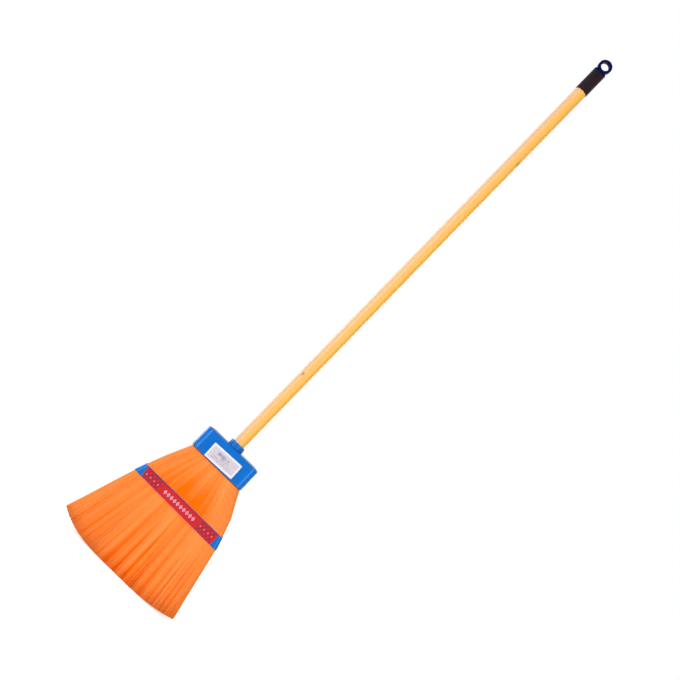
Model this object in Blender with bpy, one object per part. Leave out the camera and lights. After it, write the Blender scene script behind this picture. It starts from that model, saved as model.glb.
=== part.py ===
"""Outdoor fan broom as separate pieces, in metres, with +Z up.

The bristle tips stand on the ground at Z = 0 and the label faces -Y. The origin lies
under the middle of the fan's reach, and every piece hangs on an empty on the stick's axis.
"""

import math

import bmesh
import bpy
from mathutils import Matrix, Vector

# Fits and joins shared by all pieces
clearance = 0.0003
overrun = 0.001
embed = 0.0006

# Heights from the ground up
fan_height = 0.2646
cap_height = 0.0488
collar_height = 0.0105
stick_length = 1.0157

# Head cap: one moulded shell, open below
cap_width = 0.127
cap_depth = 0.050
cap_corner = 0.015
cap_wall = 0.0024
cap_top_wall = 0.0030
cap_draft = 0.0005
cap_edge_round = 0.0030
cap_lip_round = 0.0010
cap_crown = 0.0018
cap_crown_run = 0.011
cap_crown_shares = (0.5, 1)
cavity_round = 0.0015
web_thickness = 0.0018
web_place_shares = (-0.72, -0.42, 0.42, 0.72)

# Collar and socket, moulded with the cap
collar_wall = 0.0032
collar_rim_round = 0.0010
socket_wall = 0.0025
seat_depth = 0.0138
gusset_count = 8
gusset_reach = 0.0018
gusset_half_thickness = 0.0013
gusset_rim_drop = 0.0022

# Stick
stick_radius = 0.0127
stick_edge = 0.0006
spigot_radius = 0.0085
spigot_length = 0.027
sleeve_seat_radius = 0.0123
pilot_depth = 0.017

# Threaded tip and its screw
tip_wall = 0.0019
tip_floor = 0.0024
tip_lead = 0.0015
screw_shank_radius = 0.0015
screw_head_radius = 0.0030
screw_length = 0.016
screw_point = 0.003

# Sleeve and hanging eye at the top
sleeve_wall = 0.0009
sleeve_length = 0.0505
eye_flange_radius = 0.0135
eye_flange_height = 0.0055
eye_flange_round = 0.0010
eye_ring_radius = 0.0139
eye_hole_radius = 0.0085
eye_thickness = 0.0120
eye_edge_round = 0.0008
eye_ring_sink = 0.0009
eye_neck_half_width = 0.0098
eye_neck_height = 0.0035
eye_neck_spread = 0.0020
peg_radius = 0.0060
peg_length = 0.031
peg_barb_count = 3
peg_barb_depth = 0.0007

# Root slices, which fill the cap's mouth
slice_count = 4
slice_height = 0.013
slice_setback = 0.0003
slice_gap = 0.0003
slice_line_shares = (0, 0.5, 1)

# Fan of strands: reach to the left and right of the stick's axis, and half its depth
shoulder_height = 0.2094
shoulder_left = 0.0864
shoulder_right = 0.0900
shoulder_half_depth = 0.0235
shoulder_corner = 0.010
waist_height = 0.1524
waist_left = 0.1074
waist_right = 0.1067
waist_half_depth = 0.0265
waist_corner = 0.006
ground_left = 0.1571
ground_right = 0.1398
ground_half_depth = 0.042
ground_corner = 0.018
tip_rise_left = 0.0243
tip_rise_right = 0.0113
tip_rise_power = 3.4
tip_flat_depth = 0.0005
strands_per_line = 20
strand_shares = (0.90, 0.74, 0.64, 0.44)
strand_turn_share = 0.24

# Band round the fan and its printed strip
band_bottom = 0.1544
band_height = 0.0250
band_left_lift_below = 0.0036
band_left_lift_above = 0.0009
band_wall = 0.0014
band_edge_round = 0.0006
strip_half_width = 0.0910
strip_left_slant = 0.0032
strip_margin = 0.0006
strip_thickness = 0.0004

# Label on the cap
label_width = 0.0670
label_height = 0.0314
label_bottom_margin = 0.0020
label_offset = 0.0008
label_tilt = math.radians(1.9)
label_thickness = 0.0003

# Pins through the cap and the slices
pin_radius = 0.0020
pin_place = 0.0260
pin_head_radius = 0.0042
pin_head_height = 0.0014

# Facets of round forms
turn_steps = 40
small_turn_steps = 12
corner_steps = 6
round_steps = 3
fine_round_steps = 2
smooth_angle = math.radians(35)

# Places worked out from the sizes above
cap_mouth = fan_height
cap_top = cap_mouth + cap_height
collar_rim = cap_top + collar_height
stick_shoulder = collar_rim - seat_depth
stick_top = stick_shoulder + stick_length
collar_bore = stick_radius + clearance
collar_radius = collar_bore + collar_wall
tip_bore = spigot_radius + clearance
tip_radius = tip_bore + tip_wall
socket_bore = tip_radius + clearance
boss_radius = socket_bore + socket_wall
slice_bottom = cap_mouth + slice_setback
slice_top = slice_bottom + slice_height
cavity_half_width = cap_width / 2 - cap_wall
cavity_half_depth = cap_depth / 2 - cap_wall
cavity_corner = cap_corner - cap_wall
slices_half_width = cavity_half_width - clearance
slices_half_depth = cavity_half_depth - clearance
slices_corner = cavity_corner - clearance
slice_depth = (2 * slices_half_depth - (slice_count - 1) * slice_gap) / slice_count
web_bottom = slice_top + clearance
pin_height = slice_bottom + slice_height / 2
band_top = band_bottom + band_height
eye_flange_bottom = stick_top + clearance
eye_flange_top = eye_flange_bottom + eye_flange_height
eye_centre = eye_flange_top - eye_ring_sink + eye_ring_radius
fan_stations = (
    (slice_bottom, slices_half_width, slices_half_width, slices_half_depth, slices_corner),
    (shoulder_height, shoulder_left, shoulder_right, shoulder_half_depth, shoulder_corner),
    (waist_height, waist_left, waist_right, waist_half_depth, waist_corner),
    (0, ground_left, ground_right, ground_half_depth, ground_corner),
)


def clear_scene():
    for old in list(bpy.data.objects):
        bpy.data.objects.remove(old, do_unlink=True)


def material(name, colour, roughness, metallic=0.0):
    made = bpy.data.materials.new(name)
    made.use_nodes = True
    shader = made.node_tree.nodes["Principled BSDF"]
    shader.inputs["Base Color"].default_value = (*colour, 1.0)
    shader.inputs["Roughness"].default_value = roughness
    shader.inputs["Metallic"].default_value = metallic
    made.diffuse_color = (*colour, 1.0)
    return made


def finish_mesh(bm, name):
    """Turns a bmesh into a named mesh with its faces pointing out and round faces smooth."""
    bmesh.ops.recalc_face_normals(bm, faces=bm.faces[:])
    mesh = bpy.data.meshes.new(name)
    bm.to_mesh(mesh)
    bm.free()
    mesh.shade_smooth()
    mesh.set_sharp_from_angle(angle=smooth_angle)
    return mesh


def place(bm, name, look, parent):
    """Adds a piece of the broom, in the parent's space."""
    piece = bpy.data.objects.new(name, finish_mesh(bm, name))
    piece.data.materials.append(look)
    bpy.context.scene.collection.objects.link(piece)
    piece.parent = parent
    return piece


def helper(bm, name, parent):
    """Adds a form that only cuts or joins another piece."""
    form = bpy.data.objects.new(name, finish_mesh(bm, name))
    bpy.context.scene.collection.objects.link(form)
    form.parent = parent
    form.hide_render = True
    form.display_type = "WIRE"
    return form


def combine(piece, form, operation):
    step = piece.modifiers.new(form.name, "BOOLEAN")
    step.operation = operation
    step.object = form
    step.solver = "EXACT"


def settle(piece):
    """Makes a piece's cuts and joins real, then marks its sharp edges afresh."""
    graph = bpy.context.evaluated_depsgraph_get()
    rough = piece.data
    piece.data = bpy.data.meshes.new_from_object(piece.evaluated_get(graph))
    piece.data.name = rough.name
    bpy.data.meshes.remove(rough)
    piece.modifiers.clear()
    piece.data.shade_smooth()
    piece.data.set_sharp_from_angle(angle=smooth_angle)


def add_loft(bm, rings):
    """Adds a closed form through rings of points with equal counts, first and last filled."""
    loops = [[bm.verts.new(point) for point in ring] for ring in rings]
    for low, high in zip(loops, loops[1:]):
        for near in range(len(low)):
            far = (near + 1) % len(low)
            bm.faces.new((low[near], low[far], high[far], high[near]))
    bm.faces.new(reversed(loops[0]))
    bm.faces.new(loops[-1])


def add_turned(bm, profile, steps, closed=False, matrix=None):
    """Spins a profile of (radius, height) points about Z; a closed profile makes a tube."""
    verts = [bm.verts.new((radius, 0, height)) for radius, height in profile]
    pairs = list(zip(verts, verts[1:]))
    if closed:
        pairs.append((verts[-1], verts[0]))
    edges = [bm.edges.new(pair) for pair in pairs]
    before = set(bm.verts) - set(verts)
    bmesh.ops.spin(
        bm, geom=verts + edges, cent=(0, 0, 0), axis=(0, 0, 1), dvec=(0, 0, 0),
        angle=math.tau, steps=steps, use_merge=True,
    )
    made = [vert for vert in bm.verts if vert not in before]
    bmesh.ops.remove_doubles(bm, verts=made, dist=clearance / 100)
    if matrix:
        made = [vert for vert in bm.verts if vert not in before]
        bmesh.ops.transform(bm, matrix=matrix, verts=made)


def quarter(centre, radius, start, steps):
    """Points of a quarter turn, anticlockwise from the start angle in degrees."""
    angles = [math.radians(start + 90 * step / steps) for step in range(steps + 1)]
    return [
        (centre[0] + radius * math.cos(angle), centre[1] + radius * math.sin(angle))
        for angle in angles
    ]


def rounded_outline(left, right, half_depth, corner, height):
    """Rounded rectangle at a height, anticlockwise from above."""
    near = half_depth - corner
    points = quarter((right - corner, near), corner, 0, corner_steps)
    points += quarter((corner - left, near), corner, 90, corner_steps)
    points += quarter((corner - left, -near), corner, 180, corner_steps)
    points += quarter((right - corner, -near), corner, 270, corner_steps)
    return [Vector((x, y, height)) for x, y in points]


def cap_outline(inset, height):
    half_width = cap_width / 2 - inset
    return rounded_outline(half_width, half_width, cap_depth / 2 - inset, cap_corner - inset, height)


def cap_face(height):
    """Distance of the cap's front face from the axis at a height, with its draft."""
    side_top = cap_height - cap_edge_round - cap_crown
    return cap_depth / 2 - cap_draft * (height - cap_mouth) / side_top


def cap_shell():
    """The cap's outside: drafted sides, a rounded top edge and a low crown."""
    side_top = cap_top - cap_crown - cap_edge_round
    rings = [cap_outline(cap_lip_round, cap_mouth), cap_outline(0, cap_mouth + cap_lip_round)]
    for step in range(round_steps + 2):
        angle = math.pi / 2 * step / (round_steps + 1)
        inset = cap_draft + cap_edge_round * (1 - math.cos(angle))
        rings.append(cap_outline(inset, side_top + cap_edge_round * math.sin(angle)))
    for share in cap_crown_shares:
        inset = cap_draft + cap_edge_round + cap_crown_run * share
        rise = cap_crown * math.sin(math.pi / 2 * share)
        rings.append(cap_outline(inset, cap_top - cap_crown + rise))
    bm = bmesh.new()
    add_loft(bm, rings)
    return bm


def cap_cavity():
    """The hollow that holds the slices below and the webs above."""
    roof = cap_top - cap_crown - cap_top_wall
    rings = [cap_outline(cap_wall, cap_mouth - overrun)]
    for step in range(round_steps + 1):
        angle = math.pi / 2 * step / round_steps
        inset = cap_wall + cavity_round * (1 - math.cos(angle))
        rings.append(cap_outline(inset, roof - cavity_round * (1 - math.sin(angle))))
    bm = bmesh.new()
    add_loft(bm, rings)
    return bm


def add_block(bm, low, high):
    bmesh.ops.create_cube(bm, size=1, matrix=Matrix.Translation((low + high) / 2) @ Matrix.Diagonal(
        (*(high - low), 1)
    ))


def cross_webs():
    """Plates from front to back that stop the slices from being pushed up."""
    bm = bmesh.new()
    reach = cavity_half_depth + embed
    roof = cap_top - cap_crown - cap_top_wall + embed
    for share in web_place_shares:
        middle = share * cavity_half_width
        low = Vector((middle - web_thickness / 2, -reach, web_bottom))
        add_block(bm, low, Vector((middle + web_thickness / 2, reach, roof)))
    return bm


def long_web():
    """The plate along the cap, which carries the socket from the end walls."""
    bm = bmesh.new()
    reach = cavity_half_width + embed
    roof = cap_top - cap_crown - cap_top_wall + embed
    low = Vector((-reach, -web_thickness / 2, web_bottom))
    add_block(bm, low, Vector((reach, web_thickness / 2, roof)))
    return bm


def collar_and_boss():
    """Collar above the cap's top and the boss of the socket below it, still solid."""
    step = cap_top - cap_top_wall / 2
    rim = quarter(
        (collar_radius - collar_rim_round, collar_rim - collar_rim_round),
        collar_rim_round, 0, round_steps,
    )
    profile = [(0, web_bottom), (boss_radius, web_bottom), (boss_radius, step)]
    profile += [(collar_radius, step)] + rim + [(0, collar_rim)]
    bm = bmesh.new()
    add_turned(bm, profile, turn_steps)
    return bm


def gusset_ring(reach, height):
    """Section of a gusset along +X, with a round nose."""
    half = gusset_half_thickness
    nose = reach - half
    turn = [math.radians(-90 + 180 * step / (2 * round_steps)) for step in range(2 * round_steps + 1)]
    points = [(collar_radius - 2 * embed, half), (collar_radius - 2 * embed, -half)]
    points += [(nose + half * math.cos(angle), half * math.sin(angle)) for angle in turn]
    return [Vector((x, y, height)) for x, y in points]


def gussets():
    """Ribs round the collar, set so that two of them stand either side of the front."""
    bm = bmesh.new()
    for count in range(gusset_count):
        turn = Matrix.Rotation(math.tau * (count + 0.5) / gusset_count, 3, "Z")
        low = gusset_ring(collar_radius + gusset_reach, cap_top - embed)
        high = gusset_ring(collar_radius + gusset_half_thickness / 2, collar_rim - gusset_rim_drop)
        add_loft(bm, [[turn @ point for point in ring] for ring in (low, high)])
    return bm


def socket_bores():
    """Counterbore for the stick and the smaller bore for its threaded tip."""
    seat = stick_shoulder - clearance
    profile = [(0, web_bottom - overrun), (socket_bore, web_bottom - overrun), (socket_bore, seat)]
    profile += [(collar_bore, seat), (collar_bore, collar_rim + overrun), (0, collar_rim + overrun)]
    bm = bmesh.new()
    add_turned(bm, profile, turn_steps)
    return bm


def along_y(x, height):
    """Turns a form made along Z so that it runs along Y, from the front towards the back."""
    return Matrix.Translation((x, 0, height)) @ Matrix.Rotation(-math.pi / 2, 4, "X")


def pin_hole(side):
    reach = cap_depth / 2 + overrun
    radius = pin_radius + clearance
    bm = bmesh.new()
    profile = [(0, -reach), (radius, -reach), (radius, reach), (0, reach)]
    add_turned(bm, profile, small_turn_steps, matrix=along_y(side * pin_place, pin_height))
    return bm


def make_cap(axis, look):
    cap = place(cap_shell(), "head_cap", look, axis)
    combine(cap, helper(cap_cavity(), "cut_cavity", axis), "DIFFERENCE")
    combine(cap, helper(cross_webs(), "join_cross_webs", axis), "UNION")
    combine(cap, helper(long_web(), "join_long_web", axis), "UNION")
    combine(cap, helper(collar_and_boss(), "join_collar", axis), "UNION")
    combine(cap, helper(gussets(), "join_gussets", axis), "UNION")
    combine(cap, helper(socket_bores(), "cut_socket", axis), "DIFFERENCE")
    holes = [helper(pin_hole(side), f"cut_pin_{name}", axis) for side, name in ((-1, "left"), (1, "right"))]
    for hole in holes:
        combine(cap, hole, "DIFFERENCE")
    settle(cap)
    return holes


def make_pin(side, name, axis, look):
    """Steel pin from the back wall to the front one, with a low round head behind."""
    face = cap_face(pin_height)
    head = face + clearance
    profile = [(0, clearance - face), (pin_radius, clearance - face), (pin_radius, head)]
    profile.append((pin_head_radius, head))
    for step in range(round_steps + 1):
        angle = math.pi / 2 * step / round_steps
        rise = clearance + pin_head_height * math.sin(angle)
        profile.append((pin_head_radius * math.cos(angle), head + rise))
    bm = bmesh.new()
    add_turned(bm, profile, small_turn_steps, matrix=along_y(side * pin_place, pin_height))
    place(bm, f"cap_pin_{name}", look, axis)


def fan_section(height):
    """Reach to the left and right, half depth and corner radius of the fan at a height."""
    for upper, lower in zip(fan_stations, fan_stations[1:]):
        if height >= lower[0]:
            break
    along = (upper[0] - height) / (upper[0] - lower[0])
    return [high + (low - high) * along for high, low in zip(upper[1:], lower[1:])]


def fan_point(across, deep, height):
    """Point of the fan at shares of its reach and of its half depth."""
    left, right, half_depth, corner = fan_section(height)
    y = deep * half_depth
    into_corner = max(0, abs(y) - (half_depth - corner))
    pull = corner - math.sqrt(max(0, corner ** 2 - into_corner ** 2))
    reach = (right if across > 0 else left) - pull
    return Vector((across * reach, y, height))


def slice_cells(lines):
    """Triangles that share out a slice's underside, as (across, deep) shares."""
    whole = [2 * count / strands_per_line - 1 for count in range(strands_per_line + 1)]
    half = [(low + high) / 2 for low, high in zip(whole, whole[1:])]
    middle = [-1] + half + [1]
    cells = []
    for outer in (lines[0], lines[2]):
        for count in range(strands_per_line):
            cells.append(((whole[count], outer), (whole[count + 1], outer), (middle[count + 1], lines[1])))
        for count in range(strands_per_line + 1):
            cells.append(((middle[count], lines[1]), (middle[count + 1], lines[1]), (whole[count], outer)))
    edge = [(across, lines[0]) for across in whole] + [(1, lines[1])]
    edge += [(across, lines[2]) for across in reversed(whole)] + [(-1, lines[1])]
    return cells, edge


def strand_rings(cell):
    """Three-sided sections of a strand, each turned a little inside its own share of the fan."""
    across = sum(point[0] for point in cell) / len(cell)
    rise = tip_rise_right if across > 0 else tip_rise_left
    tip = max(0, rise * abs(across) ** tip_rise_power - tip_flat_depth)
    heights = [station[0] for station in fan_stations[:-1]] + [tip]
    rings = []
    for height, share in zip(heights, strand_shares):
        corners = [fan_point(*point, height) for point in cell]
        middle = sum(corners, Vector()) / len(corners)
        turned = [near.lerp(far, strand_turn_share) for near, far in zip(corners, corners[1:] + corners[:1])]
        rings.append([middle.lerp(corner, share) for corner in turned])
    return rings


def bristle_row(number):
    """One welded root slice with its strands growing out of the underside."""
    front = -slices_half_depth + number * (slice_depth + slice_gap)
    lines = [(front + slice_depth * share) / slices_half_depth for share in slice_line_shares]
    cells, edge = slice_cells(lines)
    bm = bmesh.new()
    corners = {}
    for point in {point for cell in cells for point in cell}:
        corners[point] = bm.verts.new(fan_point(*point, slice_bottom))
    for cell in cells:
        loops = [[corners[point] for point in cell]]
        loops += [[bm.verts.new(point) for point in ring] for ring in strand_rings(cell)]
        for high, low in zip(loops, loops[1:]):
            for near in range(3):
                far = (near + 1) % 3
                bm.faces.new((high[near], high[far], low[far], low[near]))
        bm.faces.new(loops[-1])
    under = [corners[point] for point in edge]
    over = [bm.verts.new(vert.co + Vector((0, 0, slice_height))) for vert in under]
    for near in range(len(under)):
        far = (near + 1) % len(under)
        bm.faces.new((under[near], under[far], over[far], over[near]))
    bm.faces.new(over)
    return bm


def make_rows(axis, look, holes):
    for number in range(slice_count):
        row = place(bristle_row(number), f"bristle_row_{number + 1}", look, axis)
        for hole in holes:
            combine(row, hole, "DIFFERENCE")
        settle(row)


def band_share(x, height):
    """Share of the way from the band's right end to its left end."""
    left, right = fan_section(height)[:2]
    return (right - x) / (left + right)


def band_ring_outline(offset, height, lift):
    """Outline of the fan grown by an offset, which rises by the lift towards its left end."""
    outlines = []
    for level in (height, height + lift):
        left, right, half_depth, corner = fan_section(level)
        outlines.append(
            rounded_outline(left + offset, right + offset, half_depth + offset, corner + offset, level)
        )
    return [low.lerp(high, band_share(low.x, height)) for low, high in zip(*outlines)]


def make_band(axis, look):
    """Moulded ring that widens downwards with the fan, narrower at its left end, and keeps it flat."""
    inner = clearance
    outer = clearance + band_wall
    soft = outer - band_edge_round
    stages = (
        (soft, band_bottom, band_left_lift_below),
        (outer, band_bottom + band_edge_round, band_left_lift_below),
        (outer, band_top - band_edge_round, band_left_lift_above),
        (soft, band_top, band_left_lift_above),
        (inner, band_top, band_left_lift_above),
        (inner, band_bottom, band_left_lift_below),
    )
    bm = bmesh.new()
    loops = [[bm.verts.new(point) for point in band_ring_outline(*stage)] for stage in stages]
    loops.append(loops[0])
    for low, high in zip(loops, loops[1:]):
        for near in range(len(low)):
            far = (near + 1) % len(low)
            bm.faces.new((low[near], low[far], high[far], high[near]))
    place(bm, "band_ring", look, axis)


def add_plate(bm, corners, face, thickness):
    """Thin plate in front of a sloped face; face gives its distance from the axis by height."""
    backs = [Vector((x, -face(height) - clearance, height)) for x, height in corners]
    fronts = [point - Vector((0, thickness, 0)) for point in backs]
    add_loft(bm, [fronts, backs])


def band_face(height):
    return fan_section(height)[2] + clearance + band_wall


def make_strip(axis, look):
    """Printed strip on the flat front of the band."""
    bm = bmesh.new()
    half = strip_half_width
    low = band_bottom + strip_margin
    high = band_top - strip_margin
    corners = []
    for x, height, lift in (
        (-half + strip_left_slant, low, band_left_lift_below), (half, low, band_left_lift_below),
        (half, high, band_left_lift_above), (-half, high, band_left_lift_above),
    ):
        corners.append((x, height + lift * band_share(x, height)))
    add_plate(bm, corners, band_face, strip_thickness)
    place(bm, "band_strip", look, axis)


def make_label(axis, look):
    """Paper label low on the cap's front, stuck on a little askew by hand."""
    bm = bmesh.new()
    middle = cap_mouth + label_bottom_margin + label_height / 2
    corners = []
    for side, level in ((-1, -1), (1, -1), (1, 1), (-1, 1)):
        x = side * label_width / 2
        rise = level * label_height / 2
        turned_x = x * math.cos(label_tilt) - rise * math.sin(label_tilt)
        turned_rise = x * math.sin(label_tilt) + rise * math.cos(label_tilt)
        corners.append((label_offset + turned_x, middle + turned_rise))
    add_plate(bm, corners, cap_face, label_thickness)
    place(bm, "cap_label", look, axis)


def make_stick(axis, look):
    """Turned stick: spigot and pilot hole below, sleeve seat and peg bore above."""
    pilot_radius = screw_shank_radius + clearance
    spigot_end = stick_shoulder - spigot_length
    seat_bottom = stick_top - sleeve_length - clearance
    bore_radius = peg_radius + clearance
    bore_bottom = stick_top - peg_length - clearance
    profile = [(0, spigot_end + pilot_depth), (pilot_radius, spigot_end + pilot_depth)]
    profile += [(pilot_radius, spigot_end), (spigot_radius - stick_edge, spigot_end)]
    profile += [(spigot_radius, spigot_end + stick_edge), (spigot_radius, stick_shoulder)]
    profile += [(stick_radius - stick_edge, stick_shoulder), (stick_radius, stick_shoulder + stick_edge)]
    profile += [(stick_radius, seat_bottom - stick_edge), (stick_radius - stick_edge, seat_bottom)]
    profile += [(sleeve_seat_radius, seat_bottom), (sleeve_seat_radius, stick_top - stick_edge)]
    profile += [(sleeve_seat_radius - stick_edge, stick_top), (bore_radius, stick_top)]
    profile += [(bore_radius, bore_bottom), (0, bore_bottom)]
    bm = bmesh.new()
    add_turned(bm, profile, turn_steps)
    place(bm, "handle", look, axis)


def make_tip(axis, look):
    """Cup over the spigot that carries the thread; its floor is countersunk for the screw."""
    top = stick_shoulder - clearance
    inner_floor = stick_shoulder - spigot_length - clearance
    bottom = inner_floor - tip_floor
    hole = screw_shank_radius + clearance
    sink = screw_head_radius + clearance
    profile = [(hole, inner_floor), (tip_bore, inner_floor), (tip_bore, top), (tip_radius, top)]
    profile += [(tip_radius, bottom + tip_lead), (tip_radius - tip_lead, bottom)]
    profile += [(sink, bottom), (hole, bottom + sink - hole)]
    bm = bmesh.new()
    add_turned(bm, profile, turn_steps, closed=True)
    place(bm, "threaded_tip", look, axis)


def make_tip_screw(axis, look):
    """Countersunk screw up through the tip's floor into the stick."""
    bottom = stick_shoulder - spigot_length - clearance - tip_floor
    neck = bottom + screw_head_radius - screw_shank_radius
    end = bottom + screw_length
    profile = [(0, bottom), (screw_head_radius, bottom), (screw_shank_radius, neck)]
    profile += [(screw_shank_radius, end - screw_point), (0, end)]
    bm = bmesh.new()
    add_turned(bm, profile, small_turn_steps)
    place(bm, "tip_screw", look, axis)


def make_sleeve(axis, look):
    inner = sleeve_seat_radius + clearance
    outer = inner + sleeve_wall
    bottom = stick_top - sleeve_length
    profile = [(inner, bottom), (inner, stick_top), (outer, stick_top), (outer, bottom)]
    bm = bmesh.new()
    add_turned(bm, profile, turn_steps, closed=True)
    place(bm, "top_sleeve", look, axis)


def eye_plug():
    """Flange on the stick's end with a barbed peg below it."""
    profile = [(0, eye_flange_bottom - peg_length + peg_barb_depth)]
    pitch = (peg_length - 2 * peg_barb_depth) / peg_barb_count
    for count in range(peg_barb_count):
        low = eye_flange_bottom - peg_length + peg_barb_depth + count * pitch
        profile.append((peg_radius - peg_barb_depth, low))
        profile.append((peg_radius, low + pitch - peg_barb_depth))
    profile.append((peg_radius - peg_barb_depth, eye_flange_bottom - peg_barb_depth))
    profile.append((peg_radius - peg_barb_depth, eye_flange_bottom))
    profile.append((eye_flange_radius, eye_flange_bottom))
    centre = (eye_flange_radius - eye_flange_round, eye_flange_top - eye_flange_round)
    profile += quarter(centre, eye_flange_round, 0, fine_round_steps)
    profile.append((0, eye_flange_top))
    bm = bmesh.new()
    add_turned(bm, profile, turn_steps)
    return bm


def eye_neck():
    """Solid web between the flange and the ring."""
    half_depth = eye_thickness / 2 - eye_edge_round
    corner = half_depth / 2
    rings = []
    for height, spread in (
        (eye_flange_top - embed, eye_neck_spread),
        (eye_flange_top + eye_neck_height / 2, 0),
        (eye_flange_top + eye_neck_height, 0),
    ):
        wide = eye_neck_half_width + spread
        rings.append(rounded_outline(wide, wide, half_depth + spread / 2, corner, height))
    bm = bmesh.new()
    add_loft(bm, rings)
    return bm


def make_eye(axis, look):
    """Hanging eye: a flat ring with soft edges, joined to its plug."""
    soft = eye_edge_round
    half = eye_thickness / 2
    profile = quarter((eye_ring_radius - soft, half - soft), soft, 0, fine_round_steps)
    profile += quarter((eye_hole_radius + soft, half - soft), soft, 90, fine_round_steps)
    profile += quarter((eye_hole_radius + soft, soft - half), soft, 180, fine_round_steps)
    profile += quarter((eye_ring_radius - soft, soft - half), soft, 270, fine_round_steps)
    bm = bmesh.new()
    add_turned(bm, profile, turn_steps, closed=True, matrix=along_y(0, eye_centre))
    eye = place(bm, "hanging_eye", look, axis)
    combine(eye, helper(eye_neck(), "join_neck", axis), "UNION")
    combine(eye, helper(eye_plug(), "join_plug", axis), "UNION")
    settle(eye)


clear_scene()
broom_axis = bpy.data.objects.new("broom_axis", None)
broom_axis.location.x = -(fan_point(-1, 0, tip_rise_left).x + fan_point(1, 0, tip_rise_right).x) / 2
bpy.context.scene.collection.objects.link(broom_axis)

blue_plastic = material("blue_plastic", (0.0, 0.16, 0.62), 0.30)
navy_plastic = material("navy_plastic", (0.005, 0.010, 0.085), 0.35)
orange_fibre = material("orange_fibre", (1.0, 0.24, 0.02), 0.50)
red_print = material("red_print", (0.60, 0.02, 0.04), 0.45)
white_label = material("white_label", (0.88, 0.87, 0.90), 0.60)
lacquered_wood = material("lacquered_wood", (0.95, 0.58, 0.20), 0.30)
black_rubber = material("black_rubber", (0.02, 0.015, 0.02), 0.50)
zinc_steel = material("zinc_steel", (0.60, 0.60, 0.62), 0.35, 1.0)

pin_holes = make_cap(broom_axis, blue_plastic)
make_rows(broom_axis, orange_fibre, pin_holes)
for pin_side, pin_name in ((-1, "left"), (1, "right")):
    make_pin(pin_side, pin_name, broom_axis, zinc_steel)
make_band(broom_axis, blue_plastic)
make_strip(broom_axis, red_print)
make_label(broom_axis, white_label)
make_stick(broom_axis, lacquered_wood)
make_tip(broom_axis, navy_plastic)
make_tip_screw(broom_axis, zinc_steel)
make_sleeve(broom_axis, black_rubber)
make_eye(broom_axis, navy_plastic)
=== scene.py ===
"""Outdoor broom dressed for its photograph: looks, fine bristles, floor, light and camera.

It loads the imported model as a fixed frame, in metres with +Z up. The broom stands on its
bristle tips at Z = 0 with the label towards -Y, and every piece is placed from the frame.
"""

import math

import bmesh
import bpy
import numpy as np
from mathutils import Matrix, Quaternion, Vector


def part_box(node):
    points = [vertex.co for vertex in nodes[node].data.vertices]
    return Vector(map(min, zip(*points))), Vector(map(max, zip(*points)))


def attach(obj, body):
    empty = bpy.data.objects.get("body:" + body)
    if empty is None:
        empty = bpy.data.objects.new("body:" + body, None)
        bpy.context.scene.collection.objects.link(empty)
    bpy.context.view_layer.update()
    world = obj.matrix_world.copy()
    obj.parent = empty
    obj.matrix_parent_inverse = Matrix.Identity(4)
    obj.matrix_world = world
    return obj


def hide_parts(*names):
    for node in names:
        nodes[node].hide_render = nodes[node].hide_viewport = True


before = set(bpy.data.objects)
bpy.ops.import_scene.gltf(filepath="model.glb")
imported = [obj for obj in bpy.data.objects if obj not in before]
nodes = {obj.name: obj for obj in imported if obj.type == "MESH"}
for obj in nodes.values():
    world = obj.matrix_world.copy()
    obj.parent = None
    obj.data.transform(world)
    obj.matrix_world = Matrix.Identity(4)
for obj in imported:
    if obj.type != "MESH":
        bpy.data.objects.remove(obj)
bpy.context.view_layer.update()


# Head cap
# One injection moulding in glossy blue plastic: a shell open below, with a socket collar and
# its gussets on top. The fibre slices are pinned into its mouth.

cap_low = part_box("head_cap")[0]
cap_blue = (0.0, 0.132, 0.535)
cap_blue_deep = (0.0, 0.108, 0.465)
cap_roughness = 0.30
cap_dull_roughness = 0.37
cap_reflection = 0.65
cap_sheen = (0.21, 0.62, 1.0)
cloud_scale = 28.0
cloud_detail = 4.0
cloud_breakup = 0.6
cloud_low = 0.35
cloud_high = 0.68
pebble_scale = 1600.0
pebble_detail = 2.0
pebble_strength = 0.6
fine_pebble = 0.000008
facet_angle = math.radians(35)
weld_distance = 0.00001

# The Mix node has sockets of the same names for numbers and colours, so they go by number
mix_share_input = 0
mix_colour_inputs = (6, 7)
mix_colour_output = 2


def add_node(tree, kind, inputs=None, **settings):
    """Adds a node. An input given as a socket is linked, and any other is set."""
    made = tree.nodes.new(kind)
    for name, value in settings.items():
        setattr(made, name, value)
    for name, value in (inputs or {}).items():
        if isinstance(value, bpy.types.NodeSocket):
            tree.links.new(value, made.inputs[name])
        else:
            made.inputs[name].default_value = value
    return made


def add_group(name, inputs, outputs):
    """Starts a shader node group with named sockets, and returns it with its two end nodes."""
    group = bpy.data.node_groups.new(name, "ShaderNodeTree")
    for label, kind in inputs:
        group.interface.new_socket(label, in_out="INPUT", socket_type=kind)
    for label, kind in outputs:
        group.interface.new_socket(label, in_out="OUTPUT", socket_type=kind)
    start = group.nodes.new("NodeGroupInput")
    end = group.nodes.new("NodeGroupOutput")
    return group, start, end


def use_group(tree, group, inputs):
    """Places a group in a material with values of its own."""
    return add_node(tree, "ShaderNodeGroup", inputs, node_tree=group)


def new_material(name):
    """A material with its Principled shader."""
    made = bpy.data.materials.new(name)
    made.use_nodes = True
    return made, made.node_tree, made.node_tree.nodes["Principled BSDF"]


def feed(tree, shader, name, socket):
    """Links a node's output to one of the shader's inputs."""
    tree.links.new(socket, shader.inputs[name])


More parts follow.
